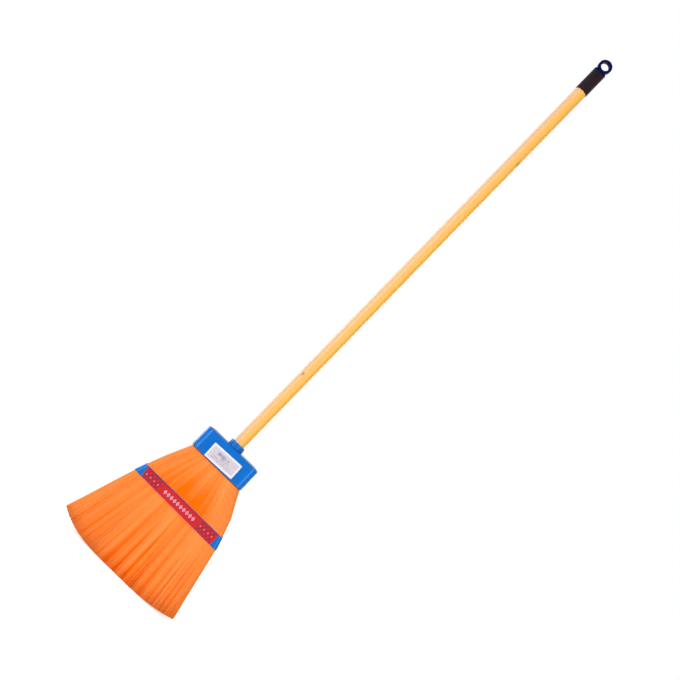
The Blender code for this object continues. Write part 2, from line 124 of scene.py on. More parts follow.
def blend_colours(tree, share, first, second):
    """Mixes two colours, each a socket or three numbers, and returns the mixed one."""
    colours = [
        colour if isinstance(colour, bpy.types.NodeSocket) else (*colour, 1)
        for colour in (first, second)
    ]
    mix = add_node(tree, "ShaderNodeMix", {
        mix_share_input: share, mix_colour_inputs[0]: colours[0], mix_colour_inputs[1]: colours[1],
    }, data_type="RGBA")
    return mix.outputs[mix_colour_output]


def moulding_group():
    """Skin of moulded plastic: flow clouds in its colour and gloss, and a very fine pebble."""
    group, start, end = add_group(
        "moulded_skin",
        [
            ("Clear", "NodeSocketColor"), ("Cloud", "NodeSocketColor"),
            ("Gloss", "NodeSocketFloat"), ("Dull", "NodeSocketFloat"),
            ("Cloud Scale", "NodeSocketFloat"), ("Pebble Scale", "NodeSocketFloat"),
        ],
        [
            ("Colour", "NodeSocketColor"), ("Roughness", "NodeSocketFloat"),
            ("Height", "NodeSocketFloat"),
        ],
    )
    place = add_node(group, "ShaderNodeTexCoord").outputs["Object"]
    cloud = add_node(group, "ShaderNodeTexNoise", {
        "Vector": place, "Scale": start.outputs["Cloud Scale"],
        "Detail": cloud_detail, "Roughness": cloud_breakup,
    })
    spread = add_node(group, "ShaderNodeMapRange", {
        "Value": cloud.outputs["Fac"], "From Min": cloud_low, "From Max": cloud_high,
    })
    pebble = add_node(group, "ShaderNodeTexNoise", {
        "Vector": place, "Scale": start.outputs["Pebble Scale"], "Detail": pebble_detail,
    })
    colour = blend_colours(
        group, spread.outputs["Result"], start.outputs["Clear"], start.outputs["Cloud"]
    )
    gloss = add_node(group, "ShaderNodeMapRange", {
        "Value": spread.outputs["Result"],
        "To Min": start.outputs["Gloss"], "To Max": start.outputs["Dull"],
    })
    group.links.new(colour, end.inputs["Colour"])
    group.links.new(gloss.outputs["Result"], end.inputs["Roughness"])
    group.links.new(pebble.outputs["Fac"], end.inputs["Height"])
    return group


moulded_skin = moulding_group()


def plastic_material(name, clear, cloud, gloss, dull, reflection, sheen, pebble_height):
    """Moulded plastic of one colour, with its clouded gloss, tinted sheen and fine pebble."""
    made, tree, shader = new_material(name)
    skin = use_group(tree, moulded_skin, {
        "Clear": (*clear, 1), "Cloud": (*cloud, 1), "Gloss": gloss, "Dull": dull,
        "Cloud Scale": cloud_scale, "Pebble Scale": pebble_scale,
    })
    relief = add_node(tree, "ShaderNodeBump", {
        "Height": skin.outputs["Height"], "Distance": pebble_height, "Strength": pebble_strength,
    })
    feed(tree, shader, "Base Color", skin.outputs["Colour"])
    feed(tree, shader, "Roughness", skin.outputs["Roughness"])
    feed(tree, shader, "Normal", relief.outputs["Normal"])
    shader.inputs["Specular IOR Level"].default_value = reflection
    shader.inputs["Specular Tint"].default_value = (*sheen, 1)
    return made


def smooth_faces_group():
    """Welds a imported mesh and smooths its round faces, leaving edges past the angle crisp."""
    tree = bpy.data.node_groups.new("smooth_faces", "GeometryNodeTree")
    tree.interface.new_socket("Geometry", in_out="INPUT", socket_type="NodeSocketGeometry")
    tree.interface.new_socket("Geometry", in_out="OUTPUT", socket_type="NodeSocketGeometry")
    start = tree.nodes.new("NodeGroupInput")
    end = tree.nodes.new("NodeGroupOutput")
    weld = add_node(tree, "GeometryNodeMergeByDistance", {
        "Geometry": start.outputs["Geometry"], "Distance": weld_distance,
    })
    angle = add_node(tree, "GeometryNodeInputMeshEdgeAngle")
    crisp = add_node(tree, "FunctionNodeCompare", {
        "A": angle.outputs["Unsigned Angle"], "B": facet_angle,
    }, data_type="FLOAT", operation="GREATER_THAN")
    shade = add_node(tree, "GeometryNodeSetMeshNormal", {
        "Mesh": weld.outputs["Geometry"], "Edge Sharpness": crisp.outputs["Result"],
    }, mode="SHARPNESS")
    tree.links.new(shade.outputs["Mesh"], end.inputs["Geometry"])
    return tree


smooth_faces = smooth_faces_group()


def dress_node(name, material):
    """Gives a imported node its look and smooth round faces."""
    node = nodes[name]
    for place in node.material_slots:
        place.material = material
    node.modifiers.new("smooth_faces", "NODES").node_group = smooth_faces


blue_plastic = plastic_material(
    "cap_blue_plastic", cap_blue, cap_blue_deep, cap_roughness, cap_dull_roughness,
    cap_reflection, cap_sheen, fine_pebble,
)
dress_node("head_cap", blue_plastic)


# Bristles
# Stiff orange plastic fibre in four rows. The fibre ends are melted together into flat slices,
# which fill the cap's mouth, and below the band the fibres gather into tufts with soft folds.
# Their colour carries painted shade, deeper orange in the folds and across the dense middle above
# the band, and a painted shadow as a dark band just under the cap's lip.

row_count = 4
fibres_in_layer = 280
layer_places = (0.03, 0.09, 0.50, 0.91, 0.97)
layer_stagger = 0.5
fibre_radius = 0.00065
fibre_sides = 4
tip_swell = 0.30
fibre_level_shares = (0, 0.010, 0.045, 0.11, 0.20, 0.31, 0.375, 0.44, 0.58, 0.72, 0.86, 1)
slice_height = 0.013
slice_gap = 0.0003
slice_corner_steps = 6
root_hold = 0.002
pin_hole_radius = 0.0023
pin_hole_sides = 12
bristle_seed = 7

mouth_half_width = 0.0608
mouth_half_depth = 0.0223
mouth_corner = 0.0123
spread_drop = 0.010
spread_half_width = 0.0650
spread_half_depth = 0.0241
shoulder_height = 0.2094
shoulder_left = 0.0864
shoulder_right = 0.0900
shoulder_half_depth = 0.0246
shoulder_corner = 0.010
waist_height = 0.1524
waist_left = 0.1074
waist_right = 0.1067
waist_half_depth = 0.0265
waist_corner = 0.006
ground_left = 0.1571
ground_right = 0.1398
ground_half_depth = 0.042
ground_corner = 0.018
tip_rise_left = 0.0243
tip_rise_right = 0.0113
tip_rise_power = 3.4
tip_unevenness = 0.0010
tip_wander = 0.0003
stray_share = 0.02
stray_reach = 0.004
kink_softening = 0.010
kink_steps = (-1, -0.5, 0, 0.5, 1)
nesting_step = 0.00015
nesting_count = 3
across_jitter = 0.15
skin_jitter = 0.012
hidden_jitter = 0.10
skin_reach = 0.12
end_fibres = 24
end_columns = 3
end_column_step = 0.009

tuft_count = 17
tuft_unevenness = 0.55
tuft_fold_depth = 0.0018
tuft_gather_share = 0.03
wisp_count = 61
wisp_fold_depth = 0.0004
wisp_gather_share = 0.03
fold_sharpness = 2.2
weakest_fold = 0.15
calm_edge_power = 8
fold_start = 0.146
fold_run = 0.085
gripped_height = 0.165
# Painted shade in the fibres' colour: its strength across the dense middle above the band, how that
# middle is bounded, and the share given to the wisps' folds.
dense_painted_shade = 0.75
dense_half_width = 0.85
dense_start = 1.25
dense_fall = 1.4
wisp_painted_shade = 0.35

fibre_pale = (1.0, 0.325, 0.080)
fibre_deep = (1.0, 0.170, 0.000)
# Painted shadow under the cap's lip: its dark colour, how far below the lip it reaches, and how
# strongly it covers the fibres.
fibre_painted_shadow = (0.10, 0.045, 0.050)
lip_painted_shadow_height = 0.0032
lip_painted_shadow_share = 0.9
broad_streaks = 26
fine_streaks = 90
tone_parts = {"fibre": 0.25, "broad": 0.45, "fine": 0.30}
tone_weight = 0.75
fold_weight = 0.85
drift_weight = 0.25
drift_scale = 18.0
drift_detail = 2.0
pale_up_to = 0.25
deep_from = 1.05
fibre_roughness = 0.45
fibre_gloss_spread = 0.08
fibre_reflection = 0.14
fibre_sheen = (1.0, 0.50, 0.15)

root_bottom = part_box("bristle_row_1")[1].z - slice_height
axis_x = (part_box("handle")[0].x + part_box("handle")[1].x) / 2
fan_stations = (
    (0.0, ground_left, ground_right, ground_half_depth, ground_corner),
    (waist_height, waist_left, waist_right, waist_half_depth, waist_corner),
    (shoulder_height, shoulder_left, shoulder_right, shoulder_half_depth, shoulder_corner),
    (
        root_bottom - spread_drop, spread_half_width, spread_half_width, spread_half_depth,
        mouth_corner,
    ),
    (root_bottom, mouth_half_width, mouth_half_width, mouth_half_depth, mouth_corner),
)


def fan_sizes(heights):
    """Reach left, reach right, half depth and corner at each height, with softened kinks."""
    station_heights, *measures = zip(*fan_stations)
    shift = np.clip(np.minimum(root_bottom - heights, heights), 0, kink_softening)
    found = []
    for sizes in measures:
        near = [np.interp(heights + step * shift, station_heights, sizes) for step in kink_steps]
        found.append(sum(near) / len(near))
    return found


def fan_places(across, deep, heights):
    """Turns shares of the fan's reach and half depth into X and Y at the given heights."""
    left, right, half_depth, corner = fan_sizes(heights)
    inset = fibre_radius
    y = deep * (half_depth - inset)
    into_corner = np.clip(np.abs(y) - (half_depth - corner), 0, corner)
    pull = corner - np.sqrt(corner ** 2 - into_corner ** 2)
    reach = np.where(across > 0, right, left) - pull - inset
    return axis_x + across * reach, y


def tufts(across, count, rng):
    """How far each fibre is from its tuft's middle, and how deep in the fold beside it."""
    widths = 1 + tuft_unevenness * (2 * rng.random(count) - 1)
    borders = np.concatenate([[0], np.cumsum(widths)]) / widths.sum() * 2 - 1
    strengths = weakest_fold + (1 - weakest_fold) * rng.random(count + 1)
    place = np.clip(np.searchsorted(borders, across) - 1, 0, count - 1)
    middle = (borders[place] + borders[place + 1]) / 2
    half = (borders[place + 1] - borders[place]) / 2
    turn = (across - middle) / half
    strength = np.where(turn < 0, strengths[place], strengths[place + 1])
    return (across - middle) * strength, strength * np.abs(turn) ** fold_sharpness


def fibre_places(row, rng):
    """Where a row's fibres stand, as shares across the fan and through the row's depth."""
    layers, places = np.meshgrid(np.arange(len(layer_places)), np.arange(fibres_in_layer))
    stagger = layer_stagger / 2 + layer_stagger * (layers.ravel() % 2)
    across = 2 * (places.ravel() + stagger) / fibres_in_layer - 1
    local = np.array(layer_places)[layers.ravel()]
    sides, columns, steps = np.meshgrid((-1, 1), np.arange(end_columns), np.arange(end_fibres))
    along = (steps.ravel() + (columns.ravel() + 0.5) / end_columns) / end_fibres
    if row == 0:
        along = 1 - np.cos(math.pi / 2 * along)
    if row == row_count - 1:
        along = np.sin(math.pi / 2 * along)
    across = np.concatenate([across, (sides * (1 - columns * end_column_step)).ravel()])
    local = np.concatenate([local, along])
    jitter = 2 * rng.random((2, len(across))) - 1
    across = np.clip(across + 2 * across_jitter * jitter[0] / fibres_in_layer, -1, 1)
    on_skin = np.arange(len(local)) >= places.size
    if row == 0:
        on_skin |= local < skin_reach
    if row == row_count - 1:
        on_skin |= local > 1 - skin_reach
    loosened = np.where(on_skin, skin_jitter, hidden_jitter)
    return across[:, None], np.clip(local + loosened * jitter[1], 0, 1)[:, None]


def fibre_paths(row, rng):
    """Centre lines of one row's fibres as (fibre, level, 3), their painted shade, darkest deep in
    the folds, and their tone.
    """
    across, local = fibre_places(row, rng)
    count = len(across)
    rise = np.where(across > 0, tip_rise_right, tip_rise_left)
    tips = rise * np.abs(across) ** tip_rise_power + tip_unevenness * rng.random((count, 1)) ** 2
    fall = np.array(fibre_level_shares)[None, :]
    heights = root_bottom + root_hold + fall * (tips - root_bottom - root_hold)
    growth = np.clip((fold_start - heights) / fold_run, 0, 1)
    growth = growth ** 2 * (3 - 2 * growth) * (1 - across ** calm_edge_power)

    tuft_aside, tuft_fold = tufts(across, tuft_count, rng)
    wisp_aside, wisp_fold = tufts(across, wisp_count, rng)
    gathered = across - growth * (tuft_gather_share * tuft_aside + wisp_gather_share * wisp_aside)
    half_depth = fan_sizes(heights)[2]
    fold = growth * (tuft_fold_depth * tuft_fold + wisp_fold_depth * wisp_fold) / half_depth
    near = np.full_like(heights, 2 * row / row_count - 1)
    far = near + 2 / row_count
    if row == 0:
        near = near + fold
    if row == row_count - 1:
        far = far - fold
    nested = rng.integers(nesting_count, size=(count, 1)) * nesting_step
    nested = nested * np.clip(heights / root_bottom, 0, 1)
    nested = nested / half_depth * np.where(local < 0.5, 1, -1)
    deep = np.clip(near + local * (far - near) + nested, -1, 1)
    x, y = fan_places(gathered, deep, np.minimum(heights, root_bottom))

    loose = np.clip((waist_height - heights) / waist_height, 0, 1) ** 2
    strays = rng.random(count) < stray_share
    reach = np.where(strays, stray_reach, tip_wander) * rng.random(count) ** 0.5
    turn = rng.random(count) * math.tau
    x = x + loose * (reach * np.cos(turn))[:, None]
    y = y + loose * (reach * np.sin(turn))[:, None]
    # Painted shade: the fibres' colour deepens in the folds below the band and across the dense
    # middle above it.
    above_band = (heights - gripped_height) / (root_bottom - gripped_height)
    dense = np.clip(1 - (across / dense_half_width) ** 2, 0, 1)
    dense = dense * np.clip(dense_start - dense_fall * above_band, 0, 1) * (above_band > 0)
    shade = np.clip(growth * (tuft_fold + wisp_painted_shade * wisp_fold) + dense_painted_shade * dense, 0, 1)
    tone = tone_parts["fibre"] * rng.random(count)
    for streaks, part in ((broad_streaks, "broad"), (fine_streaks, "fine")):
        strengths = rng.random(streaks)
        tone += tone_parts[part] * np.interp(across[:, 0], np.linspace(-1, 1, streaks), strengths)
    return np.stack([x, y, heights], axis=-1), shade, tone


def fibre_mesh(name, paths, shade, tone, rng):
    """A four-sided fibre along each centre line, cut flat, as one mesh with its tones and painted
    shade.
    """
    count, levels = paths.shape[:2]
    sides = fibre_sides
    angle = rng.random(count)[:, None] * math.tau + np.arange(sides)[None, :] * math.tau / sides
    ring = np.stack([np.cos(angle), np.sin(angle), np.zeros_like(angle)], axis=-1)
    radius = fibre_radius * (1 + tip_swell * np.array(fibre_level_shares))
    points = paths[:, :, None, :] + ring[:, None, :, :] * radius[None, :, None, None]
    first = (np.arange(count) * levels * sides)[:, None, None]
    level = (np.arange(levels - 1) * sides)[None, :, None]
    side = np.arange(sides)[None, None, :]
    beside = (side + 1) % sides
    walls = np.stack([
        first + level + side, first + level + sides + side,
        first + level + sides + beside, first + level + beside,
    ], axis=-1).reshape(-1, 4)
    tips = first[:, 0] + (levels - 1) * sides + np.arange(sides)[None, ::-1]
    roots = first[:, 0] + np.arange(sides)[None, :]
    faces = np.concatenate([walls, roots, tips])
    mesh = bpy.data.meshes.new(name)
    mesh.from_pydata(points.reshape(-1, 3).tolist(), [], faces.tolist())
    mesh.polygons.foreach_set("use_smooth", np.arange(len(mesh.polygons)) < len(walls))
    tones = mesh.attributes.new("fibre_tone", "FLOAT", "POINT")
    tones.data.foreach_set("value", np.repeat(tone, levels * sides).astype(np.float32))
    depth = mesh.attributes.new("fold_painted_shade", "FLOAT", "POINT")
    depth.data.foreach_set("value", np.repeat(shade, sides).astype(np.float32))
    return mesh


def slice_mesh(row):
    """The melted slice that holds a row: a flat block with round ends on the outer rows."""
    low_y = mouth_half_depth * (2 * row / row_count - 1)
    high_y = mouth_half_depth * (2 * (row + 1) / row_count - 1)
    if row > 0:
        low_y += slice_gap / 2
    if row < row_count - 1:
        high_y -= slice_gap / 2
    depths = np.linspace(low_y, high_y, slice_corner_steps)
    into_corner = np.clip(np.abs(depths) - (mouth_half_depth - mouth_corner), 0, mouth_corner)
    reach = mouth_half_width - mouth_corner + np.sqrt(mouth_corner ** 2 - into_corner ** 2)
    outline = [(axis_x + x, y) for x, y in zip(reach, depths)]
    outline += [(axis_x - x, y) for x, y in zip(reach[::-1], depths[::-1])]
    bm = bmesh.new()
    base = bm.faces.new([bm.verts.new((x, y, root_bottom)) for x, y in outline])
    grown = bmesh.ops.extrude_face_region(bm, geom=[base])
    raised = [item for item in grown["geom"] if isinstance(item, bmesh.types.BMVert)]
    bmesh.ops.translate(bm, verts=raised, vec=(0, 0, slice_height))
    bmesh.ops.recalc_face_normals(bm, faces=bm.faces[:])
    mesh = bpy.data.meshes.new("fibre_slice")
    bm.to_mesh(mesh)
    bm.free()
    return mesh


def add_object(name, data):
    """Puts an object with this mesh, lamp or camera into the scene."""
    made = bpy.data.objects.new(name, data)
    bpy.context.scene.collection.objects.link(made)
    return made


def drilled_slice(row):
    """The slice with a hole for each pin, which runs through all four slices."""
    block = add_object("slice_block", slice_mesh(row))
    drills = []
    for pin in ("cap_pin_left", "cap_pin_right"):
        middle = (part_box(pin)[0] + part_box(pin)[1]) / 2
        bm = bmesh.new()
        bmesh.ops.create_cone(
            bm, cap_ends=True, segments=pin_hole_sides,
            radius1=pin_hole_radius, radius2=pin_hole_radius, depth=4 * mouth_half_depth,
            matrix=Matrix.Translation(middle) @ Matrix.Rotation(math.pi / 2, 4, "X"),
        )
        drill = add_object("slice_drill", bpy.data.meshes.new("slice_drill"))
        bm.to_mesh(drill.data)
        bm.free()
        hole = block.modifiers.new("pin_hole", "BOOLEAN")
        hole.operation = "DIFFERENCE"
        hole.solver = "EXACT"
        hole.object = drill
        drills.append(drill)
    worked_out = block.evaluated_get(bpy.context.evaluated_depsgraph_get())
    drilled = bpy.data.meshes.new_from_object(worked_out)
    for used in [block, *drills]:
        bpy.data.objects.remove(used)
    return drilled


def work_out(tree, operation, *values):
    """A maths node on sockets or numbers, and its result."""
    return add_node(tree, "ShaderNodeMath", dict(enumerate(values)), operation=operation).outputs[0]


def fibre_material():
    """Waxy orange plastic: each fibre its own tone, with painted shade deeper in the folds and a
    painted shadow at the cap.
    """
    made, tree, shader = new_material("orange_fibre")
    tone = add_node(tree, "ShaderNodeAttribute", attribute_name="fibre_tone").outputs["Fac"]
    fold = add_node(tree, "ShaderNodeAttribute", attribute_name="fold_painted_shade").outputs["Fac"]
    place = add_node(tree, "ShaderNodeTexCoord").outputs["Object"]
    drift = add_node(tree, "ShaderNodeTexNoise", {
        "Vector": place, "Scale": drift_scale, "Detail": drift_detail,
    })
    mixed = work_out(tree, "MULTIPLY", tone, tone_weight)
    mixed = work_out(tree, "MULTIPLY_ADD", fold, fold_weight, mixed)
    mixed = work_out(tree, "MULTIPLY_ADD", drift.outputs["Fac"], drift_weight, mixed)
    share = add_node(tree, "ShaderNodeMapRange", {
        "Value": mixed, "From Min": pale_up_to, "From Max": deep_from,
    })
    colour = blend_colours(tree, share.outputs["Result"], fibre_pale, fibre_deep)
    # Painted shadow: the fibres darken in a thin band just under the cap's lip.
    lip = add_node(tree, "ShaderNodeMapRange", {
        "Value": add_node(tree, "ShaderNodeSeparateXYZ", {"Vector": place}).outputs["Z"],
        "From Min": cap_low.z - lip_painted_shadow_height, "From Max": cap_low.z, "To Max": lip_painted_shadow_share,
    })
    colour = blend_colours(tree, lip.outputs["Result"], colour, fibre_painted_shadow)
    feed(tree, shader, "Base Color", colour)
    gloss = add_node(tree, "ShaderNodeMapRange", {
        "Value": tone, "To Min": fibre_roughness - fibre_gloss_spread,
        "To Max": fibre_roughness + fibre_gloss_spread,
    })
    feed(tree, shader, "Roughness", gloss.outputs["Result"])
    shader.inputs["Specular IOR Level"].default_value = fibre_reflection
    shader.inputs["Specular Tint"].default_value = (*fibre_sheen, 1)
    return made


orange_fibre = fibre_material()
random_fibres = np.random.default_rng(bristle_seed)
for row in range(row_count):
    name = f"bristle_fibres_{row + 1}"
    bm = bmesh.new()
    bm.from_mesh(fibre_mesh(name, *fibre_paths(row, random_fibres), random_fibres))
    bm.from_mesh(drilled_slice(row))
    row_mesh = bpy.data.meshes.new(name)
    bm.to_mesh(row_mesh)
    bm.free()
    strands = add_object(name, row_mesh)
    strands.data.materials.append(orange_fibre)
    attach(strands, "head")
    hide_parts(f"bristle_row_{row + 1}")


# Cap pins
# Two headed steel pins from the back wall through the slices to the front wall, which stop
# the bristles from being pulled out. Zinc plated, so they are bright and a little cloudy.

zinc_bright = (0.66, 0.67, 0.70)
zinc_dull = (0.52, 0.53, 0.56)
zinc_roughness = 0.22
zinc_dull_roughness = 0.45
bloom_scale = 900.0
bloom_detail = 3.0


def zinc_material():
    """Zinc plate, whose bloom changes its colour and gloss a little from place to place."""
    made, tree, shader = new_material("zinc_plated_steel")
    place = add_node(tree, "ShaderNodeTexCoord").outputs["Object"]
    bloom = add_node(tree, "ShaderNodeTexNoise", {
        "Vector": place, "Scale": bloom_scale, "Detail": bloom_detail,
    }).outputs["Fac"]
    feed(tree, shader, "Base Color", blend_colours(tree, bloom, zinc_bright, zinc_dull))
    gloss = add_node(tree, "ShaderNodeMapRange", {
        "Value": bloom, "To Min": zinc_roughness, "To Max": zinc_dull_roughness,
    })
    feed(tree, shader, "Roughness", gloss.outputs["Result"])
    shader.inputs["Metallic"].default_value = 1.0
    return made


zinc_steel = zinc_material()
dress_node("cap_pin_left", zinc_steel)
dress_node("cap_pin_right", zinc_steel)


# Band ring
# Moulded in the same blue plastic as the cap and pushed up over the bristles until it grips.
# It widens downwards with the fan and keeps it flat.

dress_node("band_ring", blue_plastic)


# Band strip
# Printed plastic film glued along the front of the band: red ground with a plain trellis at
# each side and a row of pale lozenges between them.

strip_low, strip_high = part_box("band_strip")
strip_red = (0.520, 0.006, 0.014)
strip_red_light = (0.600, 0.012, 0.022)
# Dark ink of the trellis, which also gives the painted shade along the upper edge.
strip_dark_ink_and_shade = (0.210, 0.012, 0.038)
strip_pale = (0.720, 0.360, 0.420)
strip_pink = (0.760, 0.150, 0.170)
strip_roughness = 0.34
strip_reflection = 0.3
strip_cloud_scale = 60.0
strip_cloud_detail = 3.0
# Painted shade along the upper edge: where it starts and where it is full, as shares of the half
# height, and its strength.
strip_edge_shares = (0.80, 0.86)
strip_edge_painted_shade = 0.75
trellis_inner = 0.0500
trellis_outer = 0.0880
trellis_pitch = 0.0095
trellis_steepness = 0.80
trellis_line_share = 0.11
small_lozenge_half = (0.0019, 0.0023)
small_lozenge_count = 4
small_lozenge_starts = (-0.0832, 0.0547)
lozenge_half = (0.0033, 0.0046)
lozenge_count = 10
lozenge_start = -0.0355
lozenge_pitch = 0.0079
lozenge_hollow_share = 0.35


def lozenge_group():
    """Mask of a row of lozenges along X: 1 inside them, or only on their outlines."""
    group, start, end = add_group(
        "lozenge_row",
        [
            ("First X", "NodeSocketFloat"), ("Pitch", "NodeSocketFloat"),
            ("Count", "NodeSocketFloat"), ("Middle Z", "NodeSocketFloat"),
            ("Half Width", "NodeSocketFloat"), ("Half Height", "NodeSocketFloat"),
            ("Hollow Share", "NodeSocketFloat"),
        ],
        [("Mask", "NodeSocketFloat")],
    )
    given = start.outputs
    place = add_node(group, "ShaderNodeTexCoord").outputs["Object"]
    parts = add_node(group, "ShaderNodeSeparateXYZ", {"Vector": place})
    steps = work_out(group, "SUBTRACT", parts.outputs["X"], given["First X"])
    steps = work_out(group, "DIVIDE", steps, given["Pitch"])
    nearest = work_out(group, "MAXIMUM", work_out(group, "ROUND", steps), 0.0)
    nearest = work_out(group, "MINIMUM", nearest, work_out(group, "SUBTRACT", given["Count"], 1.0))
    aside = work_out(group, "ABSOLUTE", work_out(group, "SUBTRACT", steps, nearest))
    aside = work_out(group, "MULTIPLY", aside, given["Pitch"])
    above = work_out(group, "SUBTRACT", parts.outputs["Z"], given["Middle Z"])
    above = work_out(group, "ABSOLUTE", above)
    aside = work_out(group, "DIVIDE", aside, given["Half Width"])
    above = work_out(group, "DIVIDE", above, given["Half Height"])
    reach = work_out(group, "ADD", aside, above)
    inside = work_out(group, "LESS_THAN", reach, 1.0)
    solid = work_out(group, "GREATER_THAN", reach, given["Hollow Share"])
    group.links.new(work_out(group, "MULTIPLY", inside, solid), end.inputs["Mask"])
    return group


lozenge_row = lozenge_group()


def trellis_group():
    """Mask of a band of crossing diagonals on both sides of a middle, between two distances."""
    group, start, end = add_group(
        "side_trellis",
        [
            ("Middle X", "NodeSocketFloat"), ("Middle Z", "NodeSocketFloat"),
            ("Inner", "NodeSocketFloat"), ("Outer", "NodeSocketFloat"),
            ("Pitch", "NodeSocketFloat"), ("Steepness", "NodeSocketFloat"),
            ("Line Share", "NodeSocketFloat"),
        ],
        [("Mask", "NodeSocketFloat")],
    )
    given = start.outputs
    place = add_node(group, "ShaderNodeTexCoord").outputs["Object"]
    parts = add_node(group, "ShaderNodeSeparateXYZ", {"Vector": place})
    across = work_out(group, "SUBTRACT", parts.outputs["X"], given["Middle X"])
    across = work_out(group, "ABSOLUTE", across)
    from_inner = work_out(group, "SUBTRACT", across, given["Inner"])
    up = work_out(group, "SUBTRACT", parts.outputs["Z"], given["Middle Z"])
    up = work_out(group, "MULTIPLY", up, given["Steepness"])
    lines = []
    for operation in ("ADD", "SUBTRACT"):
        steps = work_out(group, operation, from_inner, up)
        steps = work_out(group, "DIVIDE", steps, given["Pitch"])
        away = work_out(group, "SUBTRACT", steps, work_out(group, "ROUND", steps))
        away = work_out(group, "ABSOLUTE", away)
        lines.append(work_out(group, "LESS_THAN", away, given["Line Share"]))
    both = work_out(group, "MAXIMUM", lines[0], lines[1])
    past_inner = work_out(group, "GREATER_THAN", from_inner, 0.0)
    before_outer = work_out(group, "LESS_THAN", across, given["Outer"])
    inside = work_out(group, "MULTIPLY", past_inner, before_outer)
    group.links.new(work_out(group, "MULTIPLY", both, inside), end.inputs["Mask"])
    return group


side_trellis = trellis_group()


def strip_material():
    """Red print with its trellis and lozenges in a faintly clouded ink, and painted shade along its
    upper edge.
    """
    made, tree, shader = new_material("red_printed_strip")
    middle = (strip_low.z + strip_high.z) / 2
    half_height = (strip_high.z - strip_low.z) / 2
    place = add_node(tree, "ShaderNodeTexCoord").outputs["Object"]
    cloud = add_node(tree, "ShaderNodeTexNoise", {
        "Vector": place, "Scale": strip_cloud_scale, "Detail": strip_cloud_detail,
    })
    colour = blend_colours(tree, cloud.outputs["Fac"], strip_red, strip_red_light)
    trellis = use_group(tree, side_trellis, {
        "Middle X": axis_x, "Middle Z": middle, "Inner": trellis_inner, "Outer": trellis_outer,
        "Pitch": trellis_pitch, "Steepness": trellis_steepness, "Line Share": trellis_line_share,
    })
    colour = blend_colours(tree, trellis.outputs["Mask"], colour, strip_dark_ink_and_shade)
    small = (trellis_pitch, small_lozenge_count, small_lozenge_half, 0.0, strip_pink)
    large = (lozenge_pitch, lozenge_count, lozenge_half, lozenge_hollow_share, strip_pale)
    rows = [(first, *small) for first in small_lozenge_starts] + [(lozenge_start, *large)]
    for first, pitch, count, half, hollow, ink in rows:
        mask = use_group(tree, lozenge_row, {
            "First X": axis_x + first, "Pitch": pitch, "Count": count, "Middle Z": middle,
            "Half Width": half[0], "Half Height": half[1], "Hollow Share": hollow,
        })
        colour = blend_colours(tree, mask.outputs["Mask"], colour, ink)
    # Painted shade: the strip darkens towards its upper edge.
    height = add_node(tree, "ShaderNodeSeparateXYZ", {"Vector": place}).outputs["Z"]
    edge = add_node(tree, "ShaderNodeMapRange", {
        "Value": height, "From Min": middle + half_height * strip_edge_shares[0],
        "From Max": middle + half_height * strip_edge_shares[1], "To Max": strip_edge_painted_shade,
    })
    colour = blend_colours(tree, edge.outputs["Result"], colour, strip_dark_ink_and_shade)
    feed(tree, shader, "Base Color", colour)
    shader.inputs["Roughness"].default_value = strip_roughness
    shader.inputs["Specular IOR Level"].default_value = strip_reflection
    return made


dress_node("band_strip", strip_material())


# Cap label
# Paper label stuck to the cap's front: a white sheet, printed with a pale panel, a grey
# blotch and faint grey rules.

label_low, label_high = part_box("cap_label")
label_width = 0.0670
label_height = 0.0314
label_tilt = math.radians(1.9)
label_white = (0.76, 0.78, 0.82)
label_panel = (0.60, 0.54, 0.62)
label_grey = (0.19, 0.20, 0.26)
label_roughness = 0.42
label_margin = 0.0032
panel_soft_edge = 0.0006
paper_scale = 500.0
paper_detail = 4.0
paper_relief = 0.00005
paper_relief_strength = 0.5
smudge_scale = 110.0
smudge_detail = 3.0
smudge_range = (0.40, 0.60)
smudge_ink = (0.15, 1.0)

# Each rule's place and half sizes as shares of the panel's half sizes, and its soft edge
label_rules = (
    (-0.10, 0.38, 0.46, 0.34, 0.0030),
    (0.10, -0.02, 0.34, 0.12, 0.0016),
    (0.0, -0.36, 0.78, 0.07, 0.0009),
    (0.0, -0.64, 0.78, 0.07, 0.0009),
)


def panel_group():
    """Mask of a rectangle in the XZ plane of the place given, with slightly soft edges."""
    group, start, end = add_group(
        "panel_mask",
        [
            ("Place", "NodeSocketVector"),
            ("Middle X", "NodeSocketFloat"), ("Middle Z", "NodeSocketFloat"),
            ("Half Width", "NodeSocketFloat"), ("Half Height", "NodeSocketFloat"),
            ("Soft", "NodeSocketFloat"),
        ],
        [("Mask", "NodeSocketFloat")],
    )
    parts = add_node(group, "ShaderNodeSeparateXYZ", {"Vector": start.outputs["Place"]})
    masks = []
    for axis, half in (("X", "Half Width"), ("Z", "Half Height")):
        away = work_out(group, "SUBTRACT", parts.outputs[axis], start.outputs[f"Middle {axis}"])
        away = work_out(group, "ABSOLUTE", away)
        mask = add_node(group, "ShaderNodeMapRange", {
            "Value": work_out(group, "SUBTRACT", start.outputs[half], away),
            "From Max": start.outputs["Soft"],
        })
        masks.append(mask.outputs["Result"])
    group.links.new(work_out(group, "MULTIPLY", masks[0], masks[1]), end.inputs["Mask"])
    return group


panel_mask = panel_group()


